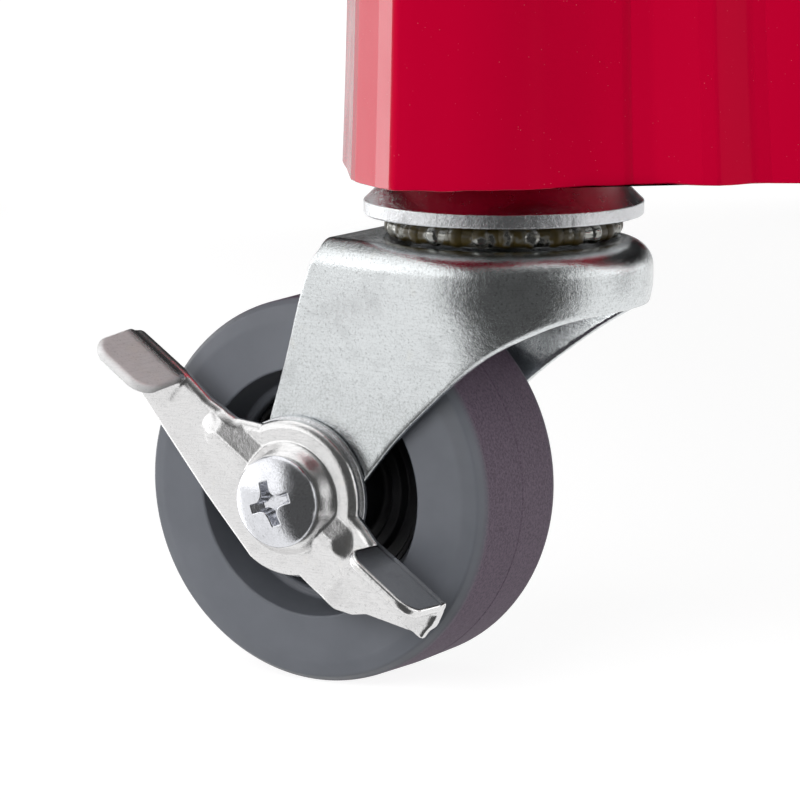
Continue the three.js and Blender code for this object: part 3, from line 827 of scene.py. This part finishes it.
def handle_mesh(number):
    """A bent tube on two round feet."""
    low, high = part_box(f"handle_{number}")
    end = math.copysign(1, low.x)
    level = (low.z + high.z) / 2 / MM
    seat = min(abs(low.x), abs(high.x)) / MM
    radius, bend, span = HANDLE_RADIUS, HANDLE_BEND, HANDLE_HALF_SPAN
    reach = max(abs(low.x), abs(high.x)) / MM - radius
    path = np.array([
        (seat + 2, -span), *arc(reach - bend, -span + bend, bend, -90, 0, 16),
        *[(reach, y) for y in np.linspace(-span + bend, span - bend, 9)[1:-1]],
        *arc(reach - bend, span - bend, bend, 0, 90, 16), (seat + 2, span)])
    angles = np.linspace(0, 2 * math.pi, 32, endpoint=False)
    out, up = radius * np.cos(angles), radius * np.sin(angles)
    rings = [np.stack([end * (x + out * dy), y - out * dx, level + up], 1)
             for (x, y), (dx, dy) in zip(path, directions(path))]
    outline = rounded([(0, seat, 0), (16.9, seat, 0.8), (16, seat + 5, 2.2), (12.6, seat + 6, 1.5),
                       (11.2, seat + 12, 0.5), (0, seat + 12, 0)])
    meshes = [skinned("tube", rings)]
    for side in (-1, 1):
        foot = turned("foot", outline, 64)
        foot.transform(Matrix.Translation(Vector((0, side * span, level)) * MM)
                       @ Matrix.Rotation(-end * math.pi / 2, 4, "Z"))
        meshes.append(foot)
    return joined(f"handle_{number}_grip", meshes)


def add_handles():
    for n in (1, 2):
        shown(f"handle_{n}_bar", handle_mesh(n), "root", BLACK, f"handle_{n}")


# ---- Stage, light and camera ----

def add_floor():
    size = 12.0
    mesh = built("floor", [(-size, -size, 0), (size, -size, 0), (size, size, 0), (-size, size, 0)],
                 [(0, 1, 2, 3)], 1)
    f = Finish("pale_floor")
    f.shader.inputs["Emission Color"].default_value = (1, 1, 1, 1)
    f.shader.inputs["Emission Strength"].default_value = 0.88
    f.shader.inputs["Specular IOR Level"].default_value = 0
    shade = f.ramp(f.noise(900, 2, 0.5), (0.3, 0.30), (0.7, 0.32))
    mesh.materials.append(f.done(Base_Color=shade, Roughness=0.9))
    floor = bpy.data.objects.new("floor", mesh)
    floor.visible_glossy = False
    floor.visible_diffuse = False
    bpy.context.scene.collection.objects.link(floor)


YAW = math.radians(14)            # the view runs along -X, turned this far towards +Y
PITCH = math.radians(8.9)
VIEW = Vector((-math.cos(YAW), math.sin(YAW), 0))
RIGHT = Vector((math.sin(YAW), math.cos(YAW), 0))
UP = Vector((0, 0, 1))


def add_camera():
    data = bpy.data.cameras.new("camera")
    data.sensor_width, data.lens = 36, 225
    data.clip_end = 100
    camera = bpy.data.objects.new("camera", data)
    camera.location = swivel_of(HERO) - 0.019893 * RIGHT - 0.952825 * VIEW + 0.205729 * UP
    camera.rotation_mode = "QUATERNION"
    look = VIEW * math.cos(PITCH) - UP * math.sin(PITCH)
    camera.rotation_quaternion = look.to_track_quat("-Z", "Y")
    bpy.context.scene.collection.objects.link(camera)
    bpy.context.scene.camera = camera


class Studio:
    """The room's light by direction: white floor and softboxes, and a darker room towards the camera."""

    def __init__(self):
        world = bpy.data.worlds.new("studio")
        world.use_nodes = True
        bpy.context.scene.world = world
        self.tree = world.node_tree
        self.background = self.tree.nodes["Background"]
        place = self.tree.nodes.new("ShaderNodeTexCoord")
        self.direction = place.outputs["Generated"]
        self.rays = self.tree.nodes.new("ShaderNodeLightPath").outputs

    def link(self, value, socket):
        if isinstance(value, bpy.types.NodeSocket):
            self.tree.links.new(value, socket)
        else:
            socket.default_value = value

    def along(self, axis):
        """How far the direction points along an axis, from -1 to 1."""
        node = self.tree.nodes.new("ShaderNodeVectorMath")
        node.operation = "DOT_PRODUCT"
        self.link(self.direction, node.inputs[0])
        node.inputs[1].default_value = axis
        return node.outputs["Value"]

    def math(self, how, a, b):
        node = self.tree.nodes.new("ShaderNodeMath")
        node.operation = how
        self.link(a, node.inputs[0])
        self.link(b, node.inputs[1])
        return node.outputs[0]

    def rise(self, value, low, high, start=0.0, stop=1.0):
        node = self.tree.nodes.new("ShaderNodeMapRange")
        node.interpolation_type = "SMOOTHSTEP"
        self.link(value, node.inputs["Value"])
        for name, number in (("From Min", low), ("From Max", high), ("To Min", start), ("To Max", stop)):
            node.inputs[name].default_value = number
        return node.outputs[0]

    def product(self, first, *others):
        for other in others:
            first = self.math("MULTIPLY", first, other)
        return first

    def total(self, first, *others):
        for other in others:
            first = self.math("ADD", first, other)
        return first

    def choose(self, ray, one, other):
        """One level for a kind of ray and the other for the rest."""
        node = self.tree.nodes.new("ShaderNodeMix")
        self.link(self.rays[ray], node.inputs["Factor"])
        self.link(other, node.inputs["A"])
        self.link(one, node.inputs["B"])
        return node.outputs["Result"]

    def shine(self, mirrored, spread, backdrop):
        """What polished surfaces show, what lights matt ones, and the even backdrop the camera sees."""
        level = self.choose("Is Diffuse Ray", spread, mirrored)
        self.link(self.choose("Is Camera Ray", backdrop, level), self.background.inputs["Strength"])
        self.background.inputs["Color"].default_value = (1, 1, 1, 1)


def add_world():
    room = Studio()
    left, right = room.along(-RIGHT), room.along(RIGHT)
    front, up = room.along(-VIEW), room.along(UP)
    below, above = room.rise(up, -0.02, 0.05, 1, 0), room.rise(up, 0.0, 0.1)
    # The floor is bright all round but for a dark wedge towards the camera.
    left_edge = room.rise(room.total(front, room.product(left, -0.80)), 0.0, 0.16)
    right_edge = room.rise(room.total(front, room.product(right, -0.55)), 0.0, 0.16)
    wedge = room.product(left_edge, right_edge)
    ground = room.product(below, room.rise(wedge, 0, 1, 0.92, 0.08))
    low_left = room.product(below, room.rise(left, 0.5, 0.65, 0, 1.6), room.rise(front, -0.65, -0.5, 1, 0))
    backdrop = room.product(room.rise(front, -0.2, 0.2, 0.95, 0), above, room.rise(up, 0.22, 0.34, 1, 0))
    left_box = room.product(room.rise(left, 0.52, 0.70, 0, 1.15), above, room.rise(up, 0.6, 0.8, 1, 0))
    right_box = room.product(room.rise(right, 0.62, 0.85, 0, 1.0), above, room.rise(up, 0.6, 0.8, 1, 0))
    top_box = room.product(room.rise(up, 0.66, 0.80, 0, 1.1), room.rise(front, 0.1, 0.5, 1, 0.15))
    dim = room.rise(up, 0, 0.05, 0, 0.08)
    mirrored = room.total(ground, low_left, backdrop, left_box, right_box, top_box, dim)
    key = room.rise(room.along(lean(36, 20)), 0.82, 0.95, 0, 3.2)
    fill = room.rise(room.along(lean(-108, 5)), 0.70, 0.90, 0, 2.0)
    room.shine(mirrored, room.total(key, fill, 0.32), 0.93)


def lean(azimuth, height):
    """A direction seen from the object, in degrees to the left of the camera and above the horizon."""
    a, h = math.radians(azimuth), math.radians(height)
    return (math.cos(a) * -VIEW - math.sin(a) * RIGHT) * math.cos(h) + math.sin(h) * UP


def add_stage():
    add_floor()
    add_world()
    add_camera()


add_casters()
add_legs()
add_shelves()
add_handles()
add_stage()
bpy.context.scene.view_settings.view_transform = "Standard"
